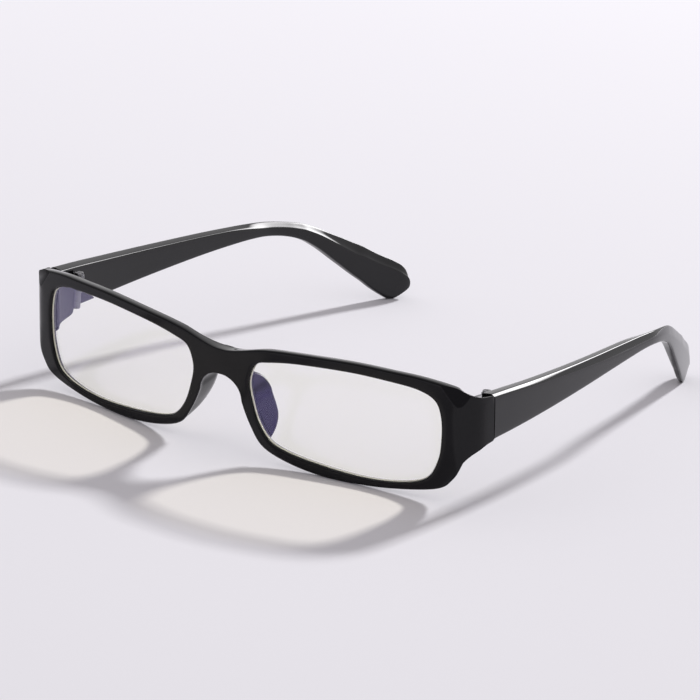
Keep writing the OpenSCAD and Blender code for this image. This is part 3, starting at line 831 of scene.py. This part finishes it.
def lens_glass():
    """Clear glass with a coating that reflects violet."""
    finish = Finish("coated_lens")
    finish.colour(finish.noise(scale=45, detail=2), *LENS_TINT)
    finish.rough(finish.noise(scale=120, detail=3), low=0.0, high=0.02)
    finish.set("IOR", LENS_IOR)
    finish.set("Transmission Weight", 1.0)
    finish.set("Specular IOR Level", 1.0)
    finish.set("Specular Tint", COATING)
    # Light passes a thin lens nearly undimmed, so its shadow is only a cream tint
    clear = finish.nodes.new("ShaderNodeBsdfTransparent")
    clear.inputs["Color"].default_value = LENS_SHADOW
    passing = either_ray(finish.nodes, finish.links, "Is Shadow Ray", "Is Diffuse Ray")
    whole = mixed(finish.nodes, finish.links, passing, finish.shader.outputs[0], clear.outputs[0])
    finish.links.new(whole, finish.out.inputs["Surface"])
    return finish.material


def lens_edge():
    """The ground bevel of a lens."""
    finish = Finish("ground_lens_edge")
    grain = finish.noise(scale=900, detail=4)
    finish.colour(grain, *GROUND_GLASS)
    finish.bump(grain, distance=0.00002, strength=0.6)
    finish.set("Roughness", 0.5)
    return finish.material


def metal(name, colours, rough):
    """Plated metal with fine upright grain."""
    finish = Finish(name)
    grain = finish.noise(scale=1500, detail=3, stretch=(1.0, 1.0, 0.08))
    finish.colour(grain, *colours)
    finish.rough(grain, low=rough, high=rough + ROUGH_SPAN)
    finish.bump(grain, distance=0.000015, strength=0.5)
    finish.set("Metallic", 1.0)
    return finish.material


def pale_table():
    finish = Finish("pale_table")
    finish.colour(finish.noise(scale=1.2, detail=2), *PALE_TABLE)
    finish.set("Roughness", 0.6)
    finish.set("Specular IOR Level", 0.0)
    return finish.material


def dress(obj, *materials):
    """Fill the object's material slots, which keeps the material of each face."""
    slots = obj.data.materials
    for k, material in enumerate(materials):
        if k < len(slots):
            slots[k] = material
        else:
            slots.append(material)


# The pieces on their bodies
front = build_front()
# the second material is painted shade: the same black with a lower IOR, for the corner's flat cut
dress(front, black_plastic("polished_black", FRONT_IOR), black_plastic("cut_corner_painted_shade", CUT_SHADE_IOR))
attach(front, "front")
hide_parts("front_frame")

glass = lens_glass()
ground = lens_edge()
lens_left = build_lens()
lens_right = mirrored(lens_left, "lens_glass_right")
for side, lens in (("left", lens_left), ("right", lens_right)):
    dress(lens, glass, ground)
    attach(lens, "front")
    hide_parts("lens_" + side)

temple_plastic = black_plastic("temple_black", TEMPLE_IOR)
arm_left = build_temple()
arm_right = mirrored(arm_left, "temple_arm_right")
for side, arm in (("left", arm_left), ("right", arm_right)):
    dress(arm, temple_plastic)
    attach(arm, "temple_" + side)
    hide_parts("temple_" + side)

hinge_metal = metal("hinge_nickel", HINGE_NICKEL, HINGE_ROUGH)
screw_metal = metal("screw_nickel", SCREW_NICKEL, SCREW_ROUGH)
for name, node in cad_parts.items():
    if "hinge_screw" in name:
        dress(node, screw_metal)
    elif "hinge" in name:
        dress(node, hinge_metal)

# Floor, in metres: just under the rims
FLOOR_HALF = 3.0
FLOOR_Z = -0.00002
SQUARE = ((-1, -1), (1, -1), (1, 1), (-1, 1))
floor = mesh_object("floor", [(x * FLOOR_HALF, y * FLOOR_HALF, FLOOR_Z) for x, y in SQUARE], [range(4)])
dress(floor, pale_table())

# Key lamp, in metres and watts: behind the object, 30 degrees up
KEY_PLACE = Vector((0.0, 3.0, 1.733))
KEY_SIZE = 0.36
KEY_POWER = 121.0
# World: its light on the object, the background that the camera sees, and what gloss shows. For
# gloss each part has a direction and a map of how well a ray agrees with it to a strength: pale
# behind and above the object and dim in front of it, and a glow near the key lamp.
WORLD_LIGHT = ((1.0, 0.965, 0.99, 1), 0.51)
WORLD_SHOWN = ((0.93, 0.92, 0.96, 1), 1.0)
GLOSS_COLOUR = (1.0, 0.985, 1.0, 1)
GLOSS_PARTS = (
    ((0.0, 0.866, 0.5), (-0.55, 0.5, 0.12, 0.8)),
    ((0.04, 0.88, 0.473), (0.965, 0.997, 0.0, 18.0)),
)


def add_key():
    data = bpy.data.lights.new("key", "AREA")
    data.shape = "RECTANGLE"
    data.size = data.size_y = KEY_SIZE
    data.energy = KEY_POWER
    obj = bpy.data.objects.new("key", data)
    bpy.context.scene.collection.objects.link(obj)
    obj.location = KEY_PLACE
    obj.rotation_euler = (-KEY_PLACE).to_track_quat("-Z", "Y").to_euler()
    obj.visible_glossy = False  # the world's glow near it is what gloss shows


def background(nodes, colour, strength):
    node = nodes.new("ShaderNodeBackground")
    node.inputs["Color"].default_value = colour
    node.inputs["Strength"].default_value = strength
    return node


def build_world():
    world = bpy.data.worlds.new("studio")
    bpy.context.scene.world = world
    world.use_nodes = True
    nodes = world.node_tree.nodes
    links = world.node_tree.links
    nodes.clear()
    light = background(nodes, *WORLD_LIGHT)
    shown = background(nodes, *WORLD_SHOWN)
    seen = either_ray(nodes, links, "Is Camera Ray", "Is Transmission Ray")
    plain = mixed(nodes, links, seen, light.outputs[0], shown.outputs[0])

    gloss = background(nodes, GLOSS_COLOUR, 1.0)
    coord = nodes.new("ShaderNodeTexCoord")
    total = nodes.new("ShaderNodeMath")
    for k, (way, values) in enumerate(GLOSS_PARTS):
        toward = nodes.new("ShaderNodeVectorMath")
        toward.operation = "DOT_PRODUCT"
        toward.inputs[1].default_value = way
        links.new(coord.outputs["Generated"], toward.inputs[0])
        links.new(map_range(nodes, links, toward.outputs["Value"], values), total.inputs[k])
    links.new(total.outputs[0], gloss.inputs["Strength"])

    path = nodes.new("ShaderNodeLightPath")
    whole = mixed(nodes, links, path.outputs["Is Glossy Ray"], plain, gloss.outputs[0])
    links.new(whole, nodes.new("ShaderNodeOutputWorld").inputs["Surface"])


# Camera, fitted to the photograph: place before the front's shift in y, angles, and focal length
CAMERA_PLACE = (858.143, -1258.659, 495.12)
CAMERA_AZ = 33.133
CAMERA_EL = 17.016
CAMERA_ROLL = 5.345
FOCAL_PX = 6563.689
PHOTO_PX = 700.0
SENSOR_W = 36.0
CLIP_END = 20.0


def add_camera():
    data = bpy.data.cameras.new("camera")
    data.sensor_width = SENSOR_W
    data.lens = FOCAL_PX * SENSOR_W / PHOTO_PX
    data.clip_end = CLIP_END
    back = Vector((sin(CAMERA_AZ) * cos(CAMERA_EL), -cos(CAMERA_AZ) * cos(CAMERA_EL), sin(CAMERA_EL)))
    level = Vector((cos(CAMERA_AZ), sin(CAMERA_AZ), 0))
    upright = back.cross(level)
    right = cos(CAMERA_ROLL) * level + sin(CAMERA_ROLL) * upright
    turn = Matrix((right, back.cross(right), back)).transposed().to_4x4()
    obj = bpy.data.objects.new("camera", data)
    obj.matrix_world = Matrix.Translation(placed(CAMERA_PLACE)) @ turn
    bpy.context.scene.collection.objects.link(obj)
    bpy.context.scene.camera = obj


add_key()
build_world()
add_camera()
bpy.context.scene.view_settings.view_transform = "Standard"
